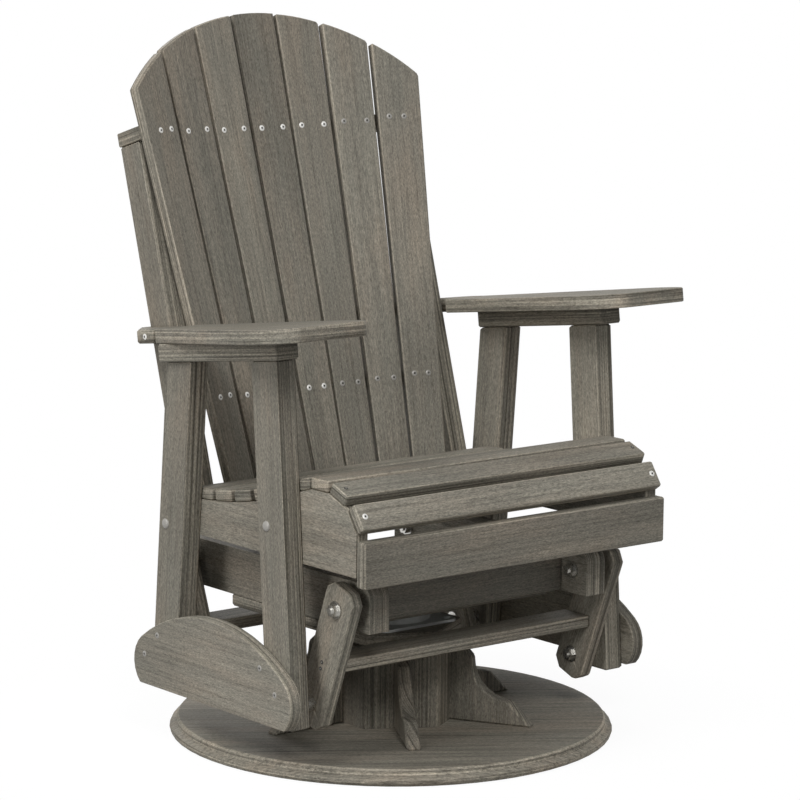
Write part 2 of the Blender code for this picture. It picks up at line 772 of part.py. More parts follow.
def make_lower_bolts(chair):
    """Bolts from the legs through the links' lower ends, with their heads sunk in the legs."""
    faces = (LEG_OUTER - COUNTERBORE_DEPTH + GAP, LEG_INNER - GAP, LINK_OUTER + GAP, LINK_INNER - GAP)
    for side_word, side in SIDES:
        for end_word, end in ENDS:
            name = "%s_%s_lower_bolt" % (side_word, end_word)
            pivot_bolt(name, side, end * LOWER_PIVOT_REACH, LOWER_PIVOT_Z, faces, chair)


# Chair: seat


def seat_height(y):
    """Height of the seat's upper face at a place along Y, behind the crest."""
    share = max(0, (y + SEAT_FRONT - SEAT_SLAT_WIDTH) / SEAT_RUN)
    fall = 1
    for (low, fall_low), (high, fall_high) in zip(SEAT_CONTOUR_SHARES, SEAT_CONTOUR_SHARES[1:]):
        if low <= share <= high:
            fall = fall_low + (fall_high - fall_low) * (share - low) / (high - low)
    return SEAT_FOOT + SEAT_CREST - SEAT_FALL * fall


def seat_slat_tops():
    """Front and rear upper edge of every seat slat, rear slat first, as ((y, z), (y, z))."""
    tops = []
    pitch = SEAT_SLAT_WIDTH + SEAT_SLAT_SPACE
    for k in reversed(range(SEAT_SLAT_COUNT)):
        front = -SEAT_FRONT + k * pitch
        rise = seat_height(front + SEAT_SLAT_WIDTH) - seat_height(front)
        run = sqrt(SEAT_SLAT_WIDTH ** 2 - rise ** 2)
        tops.append(((front, seat_height(front)), (front + run, seat_height(front) + rise)))
    crest_y, crest_z = tops[-1][0]
    nose = slat_below(crest_y - NOSE_SLAT_FORWARD, crest_z - NOSE_SLAT_DROP, NOSE_SLAT_TILT, NOSE_SLAT_WIDTH)
    tops.append(nose)
    nose_y, nose_z = nose[0]
    tops.append(slat_below(
        nose_y - FRONT_SLAT_FORWARD, nose_z - FRONT_SLAT_DROP, FRONT_SLAT_TILT, FRONT_SLAT_WIDTH))
    return tops


def slat_below(y, z, tilt, width):
    """Upper edges of a slat that slopes down and forward from its rear edge."""
    return (y - width * cos(tilt), z - width * sin(tilt)), (y, z)


def seat_slat(name, edges, chair):
    """One seat slat under its two upper edges."""
    (front_y, front_z), (rear_y, rear_z) = edges
    tilt = atan2(rear_z - front_z, rear_y - front_y)
    width = hypot(rear_z - front_z, rear_y - front_y)
    y = (front_y + rear_y) / 2 + sin(tilt) * SLAT / 2
    z = (front_z + rear_z) / 2 - cos(tilt) * SLAT / 2
    lumber(board(name, (2 * SEAT_HALF, width, SLAT), (0, y, z), (tilt, 0, 0)), chair)


def make_seat_slats(chair):
    """Seven level slats, the sloping nose slat and the steep front slat."""
    tops = seat_slat_tops()
    for k, edges in enumerate(reversed(tops[:SEAT_SLAT_COUNT])):
        seat_slat("seat_slat_%d" % (k + 1), edges, chair)
    seat_slat("seat_nose_slat", tops[SEAT_SLAT_COUNT], chair)
    seat_slat("seat_front_slat", tops[SEAT_SLAT_COUNT + 1], chair)


def under_edges(edges):
    """Rear and front lower edge of a slat, a small gap below it."""
    (front_y, front_z), (rear_y, rear_z) = edges
    tilt = atan2(rear_z - front_z, rear_y - front_y)
    down = SLAT + GAP
    shift_y = sin(tilt) * down
    shift_z = cos(tilt) * down
    return (rear_y + shift_y, rear_z - shift_z), (front_y + shift_y, front_z - shift_z)


def seat_side_outline():
    """Side view of a seat side board, which follows the undersides of the slats."""
    face = -APRON_FACE + BOARD + GAP
    outline = [(face, SEAT_FOOT), (SEAT_TAIL, SEAT_FOOT), (SEAT_TAIL, SEAT_FOOT + SEAT_TAIL_HEIGHT)]
    for edges in seat_slat_tops()[:-1]:
        outline += list(under_edges(edges))
    (high_y, high_z), (low_y, low_z) = under_edges(seat_slat_tops()[-1])
    share = (high_y - face) / (high_y - low_y)
    outline += [(high_y, high_z), (face, high_z + (low_z - high_z) * share)]
    return outline


def make_seat_side(name, side, chair):
    """Side board of the seat."""
    centre = (side * (SIDE_INNER + BOARD / 2), 0, 0)
    lumber(sawn_board(name, seat_side_outline(), BOARD, centre, FACING_X), chair)


def make_apron(chair):
    """Front board of the seat."""
    foot = SEAT_FOOT - APRON_HANG
    centre = (0, -APRON_FACE + BOARD / 2, foot + APRON_DEPTH / 2)
    lumber(board("front_apron", (2 * SIDE_OUTER, BOARD, APRON_DEPTH), centre), chair)


def make_seat_rail(chair):
    """Rail under the rear of the seat, between the side boards."""
    foot = SEAT_FOOT + SEAT_RAIL_RISE
    top = under_edges(seat_slat_tops()[0])[0][1]
    centre = (0, SEAT_RAIL_FACE + BOARD / 2, (foot + top) / 2)
    lumber(board("seat_rear_rail", (2 * (SIDE_INNER - GAP), BOARD, top - foot), centre), chair)


# Chair: fan back, in a frame whose X is across, Y to the rear and Z up along the slats


def fan_pitch(height):
    """Distance between slat middles at a height along the back."""
    return FAN_PITCH_LOW + (FAN_PITCH_HIGH - FAN_PITCH_LOW) * height / BACK_ROW


def slat_rear(x):
    """How far back the slats' rear faces come at a place across the back."""
    chord = BACK_HOLLOW * (FAN_PITCH_HIGH / 2) ** 2
    return -BACK_HOLLOW * x * x + SLAT * sqrt(1 + (2 * BACK_HOLLOW * x) ** 2) + chord + GAP


def fan_place(k):
    """Matrix of a back slat: X across it, Y through it to the rear, Z along it."""
    low = Vector((k * FAN_PITCH_LOW, -BACK_HOLLOW * (k * FAN_PITCH_LOW) ** 2, 0))
    high = Vector((k * FAN_PITCH_HIGH, -BACK_HOLLOW * (k * FAN_PITCH_HIGH) ** 2, BACK_ROW))
    length = (high - low).normalized()
    slope = 2 * BACK_HOLLOW * (low.x + high.x) / 2
    across = Vector((1, -slope, 0))
    across = (across - length * across.dot(length)).normalized()
    through = length.cross(across)
    place = Matrix((across, through, length)).transposed().to_4x4()
    return Matrix.Translation(low) @ place


def fan_half_width(place, z):
    """Half the width of a slat at a distance along it."""
    height = (place @ Vector((0, 0, z))).z
    turn = place.col[0].xyz.x
    return (fan_pitch(height) / turn - FAN_SPACE) / 2


def fan_top(place, x):
    """Where the top arc crosses a slat, at a place across it."""
    z = FAN_TOP_CENTRE + FAN_TOP_RADIUS
    for _ in range(4):
        point = place @ Vector((x, 0, z))
        rim = FAN_TOP_CENTRE + sqrt(FAN_TOP_RADIUS ** 2 - point.x ** 2)
        z += rim - point.z
    return z


def fan_outline(place):
    """Front view of one back slat: it widens upwards, under the common top arc."""
    foot = -FAN_FOOT
    half_foot = fan_half_width(place, foot)
    left = right = fan_half_width(place, FAN_TOP_CENTRE + FAN_TOP_RADIUS)
    for _ in range(4):
        left = fan_half_width(place, fan_top(place, -left))
        right = fan_half_width(place, fan_top(place, right))
    top = [(x, fan_top(place, x)) for x in between(right, -left, FAN_TOP_STEPS)]
    return [(-half_foot, foot), (half_foot, foot)] + top


def make_back_slats(back):
    """Seven tapered slats, fanned out and set on a hollow curve."""
    middle = FAN_COUNT // 2
    for k in range(-middle, middle + 1):
        place = fan_place(k)
        slat = sawn_board("back_slat_%d" % (k + middle + 1), fan_outline(place), SLAT)
        set_in_frame(slat, back, place @ Matrix.Translation((0, SLAT / 2, 0)) @ Matrix.Rotation(pi / 2, 4, "X"))
        finish(slat, LUMBER_COLOUR, LUMBER_ROUGHNESS, 0)


def set_in_frame(obj, frame, place=None):
    """Puts a piece into a leaning frame, in that frame's own coordinates."""
    obj.parent = frame
    if place is not None:
        obj.matrix_local = place
    bpy.context.view_layer.update()
    return obj


def crescent(half, rear):
    """Plan of a back board: its front follows the slats, its rear bulges between its ends."""
    front = [(x, slat_rear(x) + GAP) for x in between(-half, half, CURVE_STEPS)]
    back = [(x, rear + CROSS_BOARD_BULGE * (1 - (x / half) ** 2)) for x in between(half, -half, BULGE_STEPS)]
    return front + back


def upright_planes():
    """Front and rear plane of the uprights, in the back's frame."""
    front = slat_rear(UPRIGHT_INNER) + GAP
    return front, front + UPRIGHT_DEPTH


def make_uprights(back):
    """Two posts behind the fan, from the seat sides to the upper back board."""
    front, rear = upright_planes()
    top = BACK_ROW - BOARD / 2 - GAP
    height = top + UPRIGHT_FOOT
    for name, side in (("left_upright", -1), ("right_upright", 1)):
        x = side * (UPRIGHT_INNER + POST / 2)
        post = board(name, (POST, rear - front, height), (x, (front + rear) / 2, top - height / 2))
        set_in_frame(post, back)
        finish(post, LUMBER_COLOUR, LUMBER_ROUGHNESS, 0)


def make_back_boards(back):
    """Upper board across the uprights' tops and lower board between them."""
    rear = upright_planes()[1]
    upper = sawn_board("upper_back_board", crescent(CROSS_BOARD_END, rear), BOARD, (0, 0, BACK_ROW))
    lower = sawn_board("lower_back_board", crescent(UPRIGHT_INNER - GAP, rear), BOARD)
    for plank in (upper, lower):
        finish(set_in_frame(plank, back), LUMBER_COLOUR, LUMBER_ROUGHNESS, 0)


# Chair: arms, in a frame whose Y runs to the rear along the arm and Z up from its underside


def arm_outline(side):
    """Plan of an arm: straight sides to its widest place, then a drawn-in blunt front."""
    front = -ARM_FRONT
    widest = -ARM_WIDEST
    outer = []
    for turn in between(0, pi / 2, ARM_STEPS):
        half = ARM_HALF_FRONT + (ARM_HALF_WIDE - ARM_HALF_FRONT) * cos(turn)
        outer.append((half, widest + (front - widest) * sin(turn)))
    nose = [(ARM_CENTRE + half, y) for half, y in outer]
    nose += [(ARM_CENTRE - half, y) for half, y in reversed(outer)]
    plan = [(ARM_REAR_OUTER, ARM_REAR)] + nose + [(ARM_REAR_INNER, ARM_REAR)]
    return [(side * x, y) for x, y in plan]


def make_arm(name, side, arms):
    """Paddle-shaped arm board."""
    plank = sawn_board(name, arm_outline(side), BOARD, (0, 0, BOARD / 2))
    finish(set_in_frame(plank, arms), LUMBER_COLOUR, LUMBER_ROUGHNESS, 0)


def make_arm_support(name, side, arms):
    """Bearer between the legs' tops and the arm."""
    x = side * (LEG_INNER + SUPPORT_SET_IN + SUPPORT_WIDTH / 2)
    size = (SUPPORT_WIDTH, SUPPORT_LENGTH, SUPPORT_HEIGHT)
    bearer = board(name, size, (x, SUPPORT_LENGTH / 2, -GAP - SUPPORT_HEIGHT / 2))
    finish(set_in_frame(bearer, arms), LUMBER_COLOUR, LUMBER_ROUGHNESS, 0)


def yoke_room():
    """Plan of the room that the fan and the uprights take out of the arm cross board."""
    front, rear = upright_planes()
    reach = -YOKE_DEPTH - YOKE_END
    curve = [(x, slat_rear(x) + GAP) for x in between(-UPRIGHT_INNER + GAP, UPRIGHT_INNER - GAP, CURVE_STEPS)]
    left = [(-UPRIGHT_OUTER - GAP, reach), (-UPRIGHT_OUTER - GAP, rear + GAP), (-UPRIGHT_INNER + GAP, rear + GAP)]
    right = [(-x, y) for x, y in reversed(left)]
    return left + curve + right


def make_arm_yoke(arms, back):
    """Cross board that joins both arms behind the back, level with them."""
    start = ARM_REAR + GAP
    side = [(YOKE_END, start), (YOKE_END, start + YOKE_END_DEPTH), (YOKE_CORNER, start + YOKE_DEPTH)]
    plan = side + [(-x, y) for x, y in reversed(side)]
    yoke = sawn_board("arm_cross_board", plan, BOARD, (0, 0, BOARD / 2))
    set_in_frame(yoke, arms)
    room = sawn_board("yoke_room", yoke_room(), BACK_ROW, eased=False, group=CUTTERS)
    set_in_frame(room, back)
    boolean(yoke, as_cutter(room), "DIFFERENCE")
    finish(yoke, LUMBER_COLOUR, LUMBER_ROUGHNESS, 0)


# Assembly


def make_base():
    """Everything that stands still."""
    make_base_disc()
    make_pedestal()
    make_pedestal_top()
    make_swivel_plate("swivel_lower_plate", 1, None)
    make_ball_cage()


def make_swivel_frame(frame):
    """Everything that only turns."""
    make_swivel_plate("swivel_upper_plate", -1, frame)
    make_platform(frame)
    make_rail("left_rail", -1, frame)
    make_rail("right_rail", 1, frame)
    make_front_cross_board(frame)
    make_upper_bolts(frame)


def make_link_pair(word, end, frame):
    """Two links and their tie board."""
    make_link("left_%s_link" % word, -1, end, frame)
    make_link("right_%s_link" % word, 1, end, frame)
    make_tie_board("%s_tie_board" % word, end, frame)


def make_chair(chair):
    """Everything that glides."""
    for word, side in SIDES:
        make_leg(word + "_front_leg", side, -1, chair)
        make_leg(word + "_rear_leg", side, 1, chair)
        make_skirt(word + "_foot_board", side, chair)
        make_seat_side(word + "_seat_side", side, chair)
    make_lower_bolts(chair)
    make_seat_slats(chair)
    make_apron(chair)
    make_seat_rail(chair)
    back = joint("back_frame", (0, BACK_SETBACK, BACK_Z), chair, (-BACK_RECLINE, 0, 0))
    make_back_slats(back)
    make_uprights(back)
    make_back_boards(back)
    arms = joint("arm_frame", (0, -ARM_SETBACK, ARM_Z), chair, (-ARM_TILT, 0, 0))
    for word, side in SIDES:
        make_arm(word + "_arm", side, arms)
        make_arm_support(word + "_arm_support", side, arms)
    make_arm_yoke(arms, back)


def main():
    """Builds the whole chair."""
    swivel = joint("swivel_axis", (0, 0, 0))
    front = joint("front_upper_pivot", (0, -UPPER_PIVOT_REACH, UPPER_PIVOT_Z), swivel)
    rear = joint("rear_upper_pivot", (0, UPPER_PIVOT_REACH, UPPER_PIVOT_Z), swivel)
    chair = joint("front_lower_pivot", (0, -LOWER_PIVOT_REACH, LOWER_PIVOT_Z), front)
    make_base()
    make_swivel_frame(swivel)
    make_link_pair("front", -1, front)
    make_link_pair("rear", 1, rear)
    make_chair(chair)


main()
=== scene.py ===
"""Looks of the swivel glider: wood-grained lumber, screws and a plain studio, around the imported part."""

from math import atan, cos, pi, radians, sin

import bmesh
import bpy
from mathutils import Matrix, Vector


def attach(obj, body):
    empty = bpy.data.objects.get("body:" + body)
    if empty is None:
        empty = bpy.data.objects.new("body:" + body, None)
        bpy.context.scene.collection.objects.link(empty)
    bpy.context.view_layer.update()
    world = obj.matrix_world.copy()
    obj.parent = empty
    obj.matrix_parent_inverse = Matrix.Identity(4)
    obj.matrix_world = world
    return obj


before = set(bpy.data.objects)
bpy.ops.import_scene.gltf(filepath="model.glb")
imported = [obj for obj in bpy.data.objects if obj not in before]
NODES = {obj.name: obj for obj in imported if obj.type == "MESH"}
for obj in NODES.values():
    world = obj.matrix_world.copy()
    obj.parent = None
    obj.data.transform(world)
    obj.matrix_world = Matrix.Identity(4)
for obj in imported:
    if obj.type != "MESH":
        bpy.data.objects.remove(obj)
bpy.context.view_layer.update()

# The camera's fitted place, in metres and degrees, and its lens in millimetres
CAMERA_AZIMUTH = -38.679
CAMERA_ELEVATION = 9.526
CAMERA_DISTANCE = 5.4113
CAMERA_TARGET = (0.0, 0.0159, 0.5299)
CAMERA_ROLL = 0.472
CAMERA_LENS = 153.35
CAMERA_SENSOR = 36
CAMERA_SHIFT = (0.0159, 0.0009)
CAMERA_CLIP = (0.1, 200)

# Places and leans that the CAD source also uses
BACK_RECLINE = radians(16.46)
BACK_ORIGIN = Vector((0, 0.2003, 0.5279))
BACK_ROW = 0.4316
BACK_HOLLOW = 0.62
FAN_LOW = 0.0676
FAN_HIGH = 0.0803
ARM_TILT = atan(0.133)
LINK_LEAN = radians(20.6)
LINK_OUTER = 0.2747
LEG_OUTER = 0.336
SKIRT_OUTER = 0.3585
SIDES = (("left", -1), ("right", 1))
ENDS = (("front", -1), ("rear", 1))

# Seven slats make the back and seven the seat, and slat 4 is the middle one
SLATS = range(1, 8)
MIDDLE_SLAT = 4

# Back screws by row: how far both stand from a slat's middle, and how far the first and
# last slats' stand from it on their inner and their outer side
BACK_SCREWS = {"lower": (0.0152, 0.0146, 0.0105), "upper": (0.0215, 0.0201, 0.0065)}

# Back screws get the dull grey head instead of the bright one from this slat on, counted from the middle
# one
DULL_HEADS_FROM = {"lower": 1, "upper": 2}

# Other heads: x of the seat's screws, (x, y, z) of the one in the arm cross board's end, and
# (y, z) of those on the sides
SEAT_SCREW_REACH = 0.2875
CROSS_BOARD_END = (0.34, 0.1985, 0.6398)
FOOT_SCREWS = ((0.1407, 0.1749), (0.1757, 0.1389), (-0.1293, 0.1759), (-0.1673, 0.1419))
CARRIAGE_BOLTS = (("front", -0.1155, 0.3895), ("rear", 0.1485, 0.350))
TIE_SCREWS = ((0.1743, 0.1819), (0.1712, 0.1716))

# Turned heads as (radius, height) from the rim inwards
SCREW_PROFILE = (
    (0.0049, -0.0004), (0.0048, 0.0003), (0.0041, 0.0008),
    (0.0018, 0.0009), (0.0014, 0.0003), (0, 0.0002))
CARRIAGE_PROFILE = (
    (0.0082, -0.0004), (0.0082, 0.0006), (0.0074, 0.0019),
    (0.0055, 0.0031), (0.003, 0.0037), (0, 0.0039))
SCREW_SIDES = 20
SUNK_SIDES = 16
CARRIAGE_SIDES = 24
RECESS_FROM = 3
SUNK_SHARE = 0.68
SHARP_ANGLE = radians(40)

# Layers of the grain: noise scale, stretch along, across and through the board, detail,
# roughness and shift
HUE = (22, (0.16, 0.8, 0.8), 3, 0.6, 0.0)
SPECKLE = (700, (0.28, 1, 1), 4, 0.75, 0.0)
FLECKS = (430, (0.18, 1, 1), 3, 0.65, 3.1)
STREAKS = (240, (0.02, 1, 1), 3, 0.6, 0.0)
BROAD = (60, (0.03, 1, 1), 2, 0.5, 7.7)
PLIES = (270, (0.004, 0.012, 1), 3, 0.7, 0.0)

# The lumber's colour over the hue layer, and what the other layers multiply it by
HUE_RAMP = ((0.34, (0.214, 0.204, 0.174)), (0.5, (0.231, 0.215, 0.182)), (0.66, (0.258, 0.230, 0.190)))
SPECKLE_RAMP = ((0.32, (0.5, 0.49, 0.47)), (0.5, (0.97, 0.97, 0.97)), (0.68, (1.5, 1.48, 1.45)))
FLECKS_RAMP = ((0.3, (0.6, 0.59, 0.57)), (0.43, (0.98, 0.98, 0.98)), (0.7, (1.24, 1.23, 1.21)))
STREAKS_RAMP = ((0.28, (0.5, 0.49, 0.47)), (0.45, (0.98, 0.98, 0.98)), (0.74, (1.45, 1.43, 1.4)))
BROAD_RAMP = ((0.3, (0.9, 0.9, 0.89)), (0.7, (1.09, 1.09, 1.08)))
PLIES_RAMP = (
    (0.36, (0.4, 0.39, 0.37)), (0.46, (0.86, 0.86, 0.85)),
    (0.54, (1.12, 1.11, 1.1)), (0.64, (1.75, 1.72, 1.67)))

# Painted highlight: lightens eased edges, by how far a face looks along the thickness
EDGE_HIGHLIGHT_RAMP = ((0.25, (1, 1, 1)), (0.6, (1.45, 1.43, 1.4)), (0.8, (1.45, 1.43, 1.4)), (0.97, (1, 1, 1)))

# How much each of them counts
SPECKLE_SHARE = 0.9
FLECKS_SHARE = 0.8
BROAD_SHARE = 0.7
# Share of the painted edge highlight
EDGE_HIGHLIGHT_SHARE = 0.8

# Plies show on edges: how far the face looks along the thickness, and the share there
PLIES_ON_FACE = (0.9, 0.25)
PLIES_ON_EDGE = (0.3, 1)

# Finish of the lumber
LUMBER_ROUGHNESS = (0.5, 0.75)
LUMBER_SPECULAR = 0.18
LUMBER_BUMP = (0.4, 0.0005)
DISC_STREAKS = 1.0
BOARD_STREAKS = 0.55

# The disc's grain runs aslant. Every board starts elsewhere in the grain, and its tone
# swings a little
DISC_TURN = radians(-34)
GRAIN_STEP = (0.37, 0.11, 0.23)
TONE_SWING = 0.05
TONE_STEP = 2.4

# Boards that are lighter or darker than the rest. Much of this is painted light and shade: the left boards
# are lightened for the light from the left, and the pedestal, base disc and front cross board are darkened
# for the shade under the seat
BOARD_TONE_AND_PAINTED_LIGHT = {
    "left_seat_side": 1.2, "left_front_link": 1.22, "right_front_link": 1.1, "left_foot_board": 1.08,
    "seat_front_slat": 1.18, "pedestal": 0.7, "base_disc": 0.94, "left_rear_leg": 1.1,
    "right_front_leg": 1.12, "right_rear_leg": 1.12, "front_cross_board": 0.86, "front_tie_board": 1.1}

# Finish of metal and paint
DARKEST_SHARE = 0.8
METAL_DETAIL = 3
METAL_BUMP = (0.1, 0.0002)

# Rounding of the eased edges in the shading
WELD_DISTANCE = 0.00002
FACE_WEIGHT = 100

# Soft lamps: place, size and power
LAMPS = {
    "upper_left": ((-3.9, -0.2, 4.6), (2.0, 2.0), 116),
    "low_left": ((-5.0, -0.9, 1.2), (1.8, 1.8), 56),
    "front_left": ((-1.9, -4.0, 4.2), (1.8, 1.8), 98),
    "rear": ((1.6, 4.6, 3.0), (2.0, 2.0), 45),
    "right": ((4.8, -0.4, 3.0), (2.0, 2.0), 12),
}
LAMP_AIM = (0, 0, 0.5)

# Strength of the even light, and what the floor gives back to it
AMBIENT = 0.3
FLOOR_TONE = 0.2
FLOOR_ROUGHNESS = 0.9
FLOOR_HALF = 30

# The ground's share that takes shadow, the distances over which it fades, and the
# brightness of lit ground, which the glow makes up to white
SHADOW_SHARE = 0.12
SHADOW_FADE = (0.3, 0.7)
OPEN_FLOOR = 0.72

# Sockets of the colour mix node
MIX_A = 6
MIX_B = 7
MIX_RESULT = 2


# Materials


def range_node(nodes, value_range, result_range):
    """Map Range node between two pairs of values."""
    node = nodes.new("ShaderNodeMapRange")
    node.inputs["From Min"].default_value, node.inputs["From Max"].default_value = value_range
    node.inputs["To Min"].default_value, node.inputs["To Max"].default_value = result_range
    return node


def math_node(nodes, operation):
    """Math node of one kind."""
    node = nodes.new("ShaderNodeMath")
    node.operation = operation
    return node


def bump_node(nodes, strength, distance):
    """Bump node for a height that is linked later."""
    node = nodes.new("ShaderNodeBump")
    node.inputs["Strength"].default_value = strength
    node.inputs["Distance"].default_value = distance
    return node


def noise_node(nodes, scale, detail):
    """Noise texture node."""
    node = nodes.new("ShaderNodeTexNoise")
    node.inputs["Scale"].default_value = scale
    node.inputs["Detail"].default_value = detail
    return node


def new_material(name):
    """A material with its nodes, links and shader."""
    material = bpy.data.materials.new(name)
    material.use_nodes = True
    tree = material.node_tree
    return material, tree.nodes, tree.links, tree.nodes["Principled BSDF"]


def lumber_group():
    """Node group: grain along X and board thickness along Z of the vectors that come in, with a painted
    highlight on the eased edges.
    """
    group = bpy.data.node_groups.new("lumber_grain_and_edge_highlight", "ShaderNodeTree")
    for name, way, kind in (
            ("Vector", "INPUT", "Vector"), ("Facing", "INPUT", "Vector"), ("Tone", "INPUT", "Float"),
            ("Streaks", "INPUT", "Float"), ("Color", "OUTPUT", "Color"), ("Roughness", "OUTPUT", "Float"),
            ("Height", "OUTPUT", "Float")):
        group.interface.new_socket(name, in_out=way, socket_type="NodeSocket" + kind)
    nodes, links = group.nodes, group.links
    entry = nodes.new("NodeGroupInput")
    out = nodes.new("NodeGroupOutput")

    def grain(scale, stretch, detail, roughness, shift):
        mapping = nodes.new("ShaderNodeMapping")
        mapping.inputs["Scale"].default_value = stretch
        mapping.inputs["Location"].default_value = (shift, shift, shift)
        noise = noise_node(nodes, scale, detail)
        noise.inputs["Roughness"].default_value = roughness
        links.new(entry.outputs["Vector"], mapping.inputs["Vector"])
        links.new(mapping.outputs["Vector"], noise.inputs["Vector"])
        return noise.outputs["Fac"]

    def ramp(value, stops):
        node = nodes.new("ShaderNodeValToRGB")
        first, last = node.color_ramp.elements[0], node.color_ramp.elements[1]
        first.position, first.color = stops[0][0], stops[0][1] + (1,)
        last.position, last.color = stops[-1][0], stops[-1][1] + (1,)
        for place, colour in stops[1:-1]:
            node.color_ramp.elements.new(place).color = colour + (1,)
        links.new(value, node.inputs["Fac"])
        return node.outputs["Color"]

    def multiply(base, value, stops, share):
        node = nodes.new("ShaderNodeMix")
        node.data_type = "RGBA"
        node.blend_type = "MULTIPLY"
        if isinstance(share, float):
            node.inputs["Factor"].default_value = share
        else:
            links.new(share, node.inputs["Factor"])
        links.new(base, node.inputs[MIX_A])
        links.new(ramp(value, stops), node.inputs[MIX_B])
        return node.outputs[MIX_RESULT]

    def add(first, second):
        node = math_node(nodes, "ADD")
        links.new(first, node.inputs[0])
        links.new(second, node.inputs[1])
        return node.outputs["Value"]

    speckle, flecks, streaks, plies = grain(*SPECKLE), grain(*FLECKS), grain(*STREAKS), grain(*PLIES)
    facing = nodes.new("ShaderNodeSeparateXYZ")
    links.new(entry.outputs["Facing"], facing.inputs["Vector"])
    level = math_node(nodes, "ABSOLUTE")
    links.new(facing.outputs["Z"], level.inputs[0])
    edge = range_node(nodes, (PLIES_ON_FACE[0], PLIES_ON_EDGE[0]), (PLIES_ON_FACE[1], PLIES_ON_EDGE[1]))
    links.new(level.outputs["Value"], edge.inputs["Value"])

    colour = ramp(grain(*HUE), HUE_RAMP)
    colour = multiply(colour, speckle, SPECKLE_RAMP, SPECKLE_SHARE)
    colour = multiply(colour, flecks, FLECKS_RAMP, FLECKS_SHARE)
    colour = multiply(colour, streaks, STREAKS_RAMP, entry.outputs["Streaks"])
    colour = multiply(colour, grain(*BROAD), BROAD_RAMP, BROAD_SHARE)
    colour = multiply(colour, plies, PLIES_RAMP, edge.outputs["Result"])
    # Painted highlight along the eased edges
    colour = multiply(colour, level.outputs["Value"], EDGE_HIGHLIGHT_RAMP, EDGE_HIGHLIGHT_SHARE)
    tone = nodes.new("ShaderNodeVectorMath")
    tone.operation = "SCALE"
    links.new(colour, tone.inputs[0])
    links.new(entry.outputs["Tone"], tone.inputs["Scale"])
    links.new(tone.outputs["Vector"], out.inputs["Color"])

    rough = range_node(nodes, (0, 1), LUMBER_ROUGHNESS)
    links.new(flecks, rough.inputs["Value"])
    links.new(rough.outputs["Result"], out.inputs["Roughness"])
    links.new(add(add(speckle, streaks), plies), out.inputs["Height"])
    return group


GRAIN = lumber_group()


def lumber(name, turn, offset, tone, streaks):
    """Lumber whose grain runs along X of a turned frame."""
    material, nodes, links, shader = new_material("lumber_" + name)
    shader.inputs["Specular IOR Level"].default_value = LUMBER_SPECULAR
    place = nodes.new("ShaderNodeTexCoord")
    mapping = nodes.new("ShaderNodeMapping")
    mapping.inputs["Rotation"].default_value = turn
    mapping.inputs["Location"].default_value = offset
    facing = nodes.new("ShaderNodeMapping")
    facing.vector_type = "VECTOR"
    facing.inputs["Rotation"].default_value = turn
    group = nodes.new("ShaderNodeGroup")
    group.node_tree = GRAIN
    group.inputs["Tone"].default_value = tone
    group.inputs["Streaks"].default_value = streaks
    bump = bump_node(nodes, *LUMBER_BUMP)
    links.new(place.outputs["Object"], mapping.inputs["Vector"])
    links.new(place.outputs["Normal"], facing.inputs["Vector"])
    links.new(mapping.outputs["Vector"], group.inputs["Vector"])
    links.new(facing.outputs["Vector"], group.inputs["Facing"])
    links.new(group.outputs["Color"], shader.inputs["Base Color"])
    links.new(group.outputs["Roughness"], shader.inputs["Roughness"])
    links.new(group.outputs["Height"], bump.inputs["Height"])
    links.new(bump.outputs["Normal"], shader.inputs["Normal"])
    return material


def uneven(name, colour, roughness, scale, metallic):
    """Plain metal or paint with a little uneven colour and gloss."""
    material, nodes, links, shader = new_material(name)
    shader.inputs["Metallic"].default_value = metallic
    place = nodes.new("ShaderNodeTexCoord")
    noise = noise_node(nodes, scale, METAL_DETAIL)
    ramp = nodes.new("ShaderNodeValToRGB")
    ramp.color_ramp.elements[0].color = tuple(c * DARKEST_SHARE for c in colour) + (1,)
    ramp.color_ramp.elements[1].color = colour + (1,)
    rough = range_node(nodes, (0, 1), roughness)
    bump = bump_node(nodes, *METAL_BUMP)
    links.new(place.outputs["Object"], noise.inputs["Vector"])
    links.new(noise.outputs["Fac"], ramp.inputs["Fac"])
    links.new(ramp.outputs["Color"], shader.inputs["Base Color"])
    links.new(noise.outputs["Fac"], rough.inputs["Value"])
    links.new(rough.outputs["Result"], shader.inputs["Roughness"])
    links.new(noise.outputs["Fac"], bump.inputs["Height"])
    links.new(bump.outputs["Normal"], shader.inputs["Normal"])
    return material


# Colour, least and most roughness, scale of the unevenness, share of metal
STAINLESS = uneven("stainless", (0.62, 0.61, 0.58), (0.2, 0.38), 400, 1.0)
ZINC = uneven("zinc_steel", (0.5, 0.51, 0.49), (0.4, 0.6), 180, 0.25)
SCREW = uneven("screw_head", (0.86, 0.85, 0.81), (0.35, 0.5), 500, 0.3)
# Painted shade: near-black for the shade inside the screws' recesses, also used as the dark rim of the sunk
# heads
RECESS_SHADE_AND_DARK_RIM = uneven("screw_recess_shade_and_dark_rim", (0.06, 0.057, 0.05), (0.6, 0.8), 300, 0.0)
PAINTED = uneven("painted_head", (0.38, 0.365, 0.335), (0.28, 0.42), 350, 0.1)


# Grain

ACROSS = (1, 0, 0)
DEEP = (0, 1, 0)
UP = (0, 0, 1)
UP_BACK = (0, sin(BACK_RECLINE), cos(BACK_RECLINE))
ALONG_ARM = (0, cos(ARM_TILT), -sin(ARM_TILT))
OVER_ARM = (0, sin(ARM_TILT), cos(ARM_TILT))
ALONG_FRONT_LEG = (0, 0.0755, 1)
ALONG_REAR_LEG = (0, -0.0803, 1)
ALONG_FRONT_LINK = (0, -sin(LINK_LEAN), cos(LINK_LEAN))
ALONG_REAR_LINK = (0, sin(LINK_LEAN), cos(LINK_LEAN))
OVER_SEAT = (0, 0.15, 1)
OVER_NOSE_SLAT = (0, -0.36, 0.93)
OVER_FRONT_SLAT = (0, -0.83, 0.56)
DISC_GRAIN = (cos(DISC_TURN), sin(DISC_TURN), 0)

